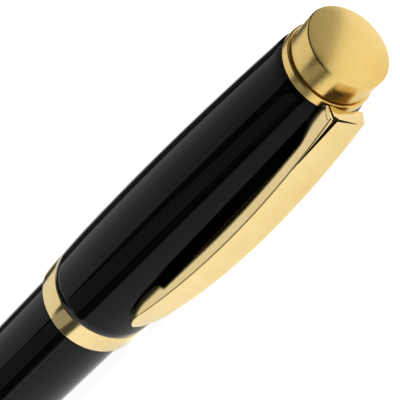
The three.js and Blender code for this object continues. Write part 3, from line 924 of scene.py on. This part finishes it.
# %% Finishes for the carried-over pieces
KEPT_FINISHES = {
    "barrel_thread_bush": BRASS, "section_thread": BRASS, "cap_mouth_bush": BRASS,
    "finial_stud": STEEL, "cap_washer": STEEL, "cap_nut": STEEL, "tail_stud": STEEL,
    "tail_spring": STEEL, "inner_cap": LINER_PLASTIC, "thread_seal": RUBBER,
    "ink_reservoir": INK_FIBRE, "ink_feed": INK_FIBRE,
}
for name, finish in KEPT_FINISHES.items():
    frame["nodes"][name].material_slots[0].material = finish
print(len(KEPT_FINISHES), "pieces carried over")

# %% [markdown]
# ## The floor
# The pen lies on a sheet of white opal acrylic that is lit from behind, as is usual for showing
# polished metal. The sheet glows almost white, so the shadow on it is faint, and the metal
# mirrors it. The glow is strongest a third of a metre from the middle of the pen, past its tail,
# and falls off over two metres.

# %% The floor's opal sheet
GLOW_CENTRE = (0.15, 0, 0)
GLOW_SCALE = (0.45, 0.45, 0.45)


def make_opal_sheet():
    material, tree, shader = start_material("back_lit_opal_acrylic")
    place = add_node(tree, "ShaderNodeTexCoord").outputs["Object"]
    cloud = add_node(tree, "ShaderNodeTexNoise", {"Vector": place, "Scale": per_mm(2)})
    tone = add_node(tree, "ShaderNodeMixRGB",
                    {"Fac": cloud.outputs["Fac"], "Color1": colour("#C4C4C3"),
                     "Color2": colour("#CCCCCB")})
    centred = add_node(tree, "ShaderNodeMapping",
                       {"Vector": place, "Location": GLOW_CENTRE, "Scale": GLOW_SCALE})
    falloff = add_node(tree, "ShaderNodeTexGradient", {"Vector": centred.outputs["Vector"]},
                       gradient_type="SPHERICAL")
    glow = add_node(tree, "ShaderNodeMapRange",
                    {"Value": falloff.outputs["Fac"], "To Min": 0.7, "To Max": 0.97})
    set_inputs(tree, shader, {
        "Base Color": tone.outputs["Color"], "Roughness": 0.9, "Specular IOR Level": 0.1,
        "Emission Color": (1, 1, 1, 1), "Emission Strength": glow.outputs["Result"],
    })
    return material


FLOOR_WIDTH = 6
OPAL_SHEET = make_opal_sheet()
deselect()
bpy.ops.mesh.primitive_plane_add(size=FLOOR_WIDTH, location=(0, 0, 0))
floor = bpy.context.object
floor.name = "opal_floor"
floor.data.materials.append(OPAL_SHEET)
print("floor", FLOOR_WIDTH, "m wide")

# %% [markdown]
# ## The screens
# Two low upright screens of the same sheet stand far behind the pen and beyond its tail, so that a
# view from near the floor meets a pale wall and no dark horizon. The one behind stops short of
# where the finial would mirror it.

# %% The screens
SCREEN_HEIGHT = 0.8
SCREENS = (("rear_screen", (-1.2, 3, 0), (90, 0, 0), 3.6),
           ("end_screen", (-3, 0.9, 0), (90, 0, 90), 4.2))
for name, foot, turn, length in SCREENS:
    deselect()
    bpy.ops.mesh.primitive_plane_add(size=1, rotation=[math.radians(angle) for angle in turn],
                                     location=Vector(foot) + Vector((0, 0, SCREEN_HEIGHT / 2)))
    screen = bpy.context.object
    screen.name = name
    screen.scale = (length, SCREEN_HEIGHT, 1)
    apply_place(screen)
    screen.data.materials.append(OPAL_SHEET)
print(len(SCREENS), "screens", SCREEN_HEIGHT, "m high")

# %% [markdown]
# ## The camera
# The camera looks at the cap from beyond the finial and a little above, from a quarter of a metre
# away, through a long lens. It is rolled about its line of sight, so that the pen runs from the
# lower left of the view to the upper right.

# %% The camera
CAMERA_PLACE = at(207.01, 0) + Vector((0, -169.28, 41.75)) * MM
CAMERA_AIM = at(25.54, 0) + Vector((0, -0.1, -0.42)) * MM
CAMERA_ROLL = math.radians(-54.98)
camera_data = bpy.data.cameras.new("camera")
camera_data.lens = 205.5
camera_data.sensor_width = 36
camera_data.clip_start = 0.01
camera = bpy.data.objects.new("camera", camera_data)
bpy.context.collection.objects.link(camera)
level = (CAMERA_AIM - CAMERA_PLACE).to_track_quat("-Z", "Y")
camera.rotation_mode = "QUATERNION"
camera.rotation_quaternion = level @ Quaternion((0, 0, 1), CAMERA_ROLL)
camera.location = CAMERA_PLACE
bpy.context.scene.camera = camera
print("camera is", round((CAMERA_PLACE - CAMERA_AIM).length / MM), "mm from its aim")

# %% [markdown]
# ## The lights
# Polished gold and lacquer show what is around them, so the lamps are large soft boxes and the
# room is dim. The box overhead draws the long pale streaks on the lacquer, and the two at the
# sides keep the gold from going dark where it turns away. The room's grey fills in the rest, and
# a view gamma below one deepens the blacks.

# %% The lights
ROOM_GREY = (0.09, 0.09, 0.09, 1)
world = bpy.data.worlds.new("studio")
world.use_nodes = True
world.node_tree.nodes["Background"].inputs["Color"].default_value = ROOM_GREY
bpy.context.scene.world = world
bpy.context.scene.view_settings.view_transform = "Standard"
bpy.context.scene.view_settings.gamma = 0.82


def softbox(name, place, aim, width, height, brightness):
    """A rectangular soft light. Sizes are in metres, and a full white has brightness 1."""
    data = bpy.data.lights.new(name, "AREA")
    data.shape = "RECTANGLE"
    data.size, data.size_y = width, height
    data.energy = brightness * math.pi * width * height
    lamp = bpy.data.objects.new(name, data)
    bpy.context.collection.objects.link(lamp)
    lamp.location = place
    lamp.rotation_euler = (Vector(aim) - Vector(place)).to_track_quat("-Z", "Y").to_euler()
    lamp.visible_camera = False
    print(name, "gives", round(data.energy, 2), "W")


softbox("overhead", (-0.5, 0.09, 0.6), (-0.5, 0.09, 0), 1.5, 1.02, 0.9)
softbox("side_wall", (-0.9, -0.9, 0.5), (0, 0, 0), 1.8, 0.45, 0.4)
softbox("rear_wall", (0.9, 0.9, 0.3), (0, 0, 0), 1.8, 0.6, 0.5)
